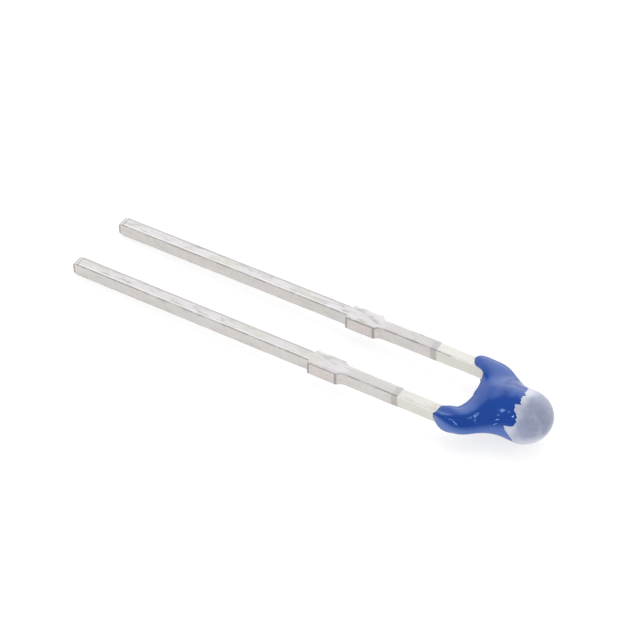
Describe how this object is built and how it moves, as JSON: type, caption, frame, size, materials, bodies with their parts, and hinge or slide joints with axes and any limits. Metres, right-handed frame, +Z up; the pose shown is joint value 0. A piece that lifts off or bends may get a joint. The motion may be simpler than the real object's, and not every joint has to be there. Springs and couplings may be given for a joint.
{
  "type": "ntc thermistor",
  "caption": "Radial NTC thermistor with two flat stamped leads, board stops, and a blue lacquered bead with a grey painted tip, lying on its side.",
  "frame": {"origin": "middle of the footprint, on the surface that the part lies on", "axes": "+X from the pins' ends towards the bead, +Y towards the left lead, +Z up"},
  "size_m": [0.0178, 0.0034, 0.0016],
  "materials": {
    "tin_plate": "matte tin-plated strip",
    "oxide_ceramic": "sintered, diced",
    "fired_silver": "fired silver paste, satin",
    "solder": "solidified solder",
    "blue_lacquer": "dipped and cured, glossy",
    "grey_paint": "dipped marking paint, milky gloss"
  },
  "bodies": {
    "root": {"left_lead": "tin_plate", "right_lead": "tin_plate", "ceramic_chip": "oxide_ceramic", "left_electrode": "fired_silver", "right_electrode": "fired_silver", "left_solder": "solder", "right_solder": "solder", "lacquer_coating": "blue_lacquer", "marking_paint": "grey_paint"}
  },
  "joints": []
}
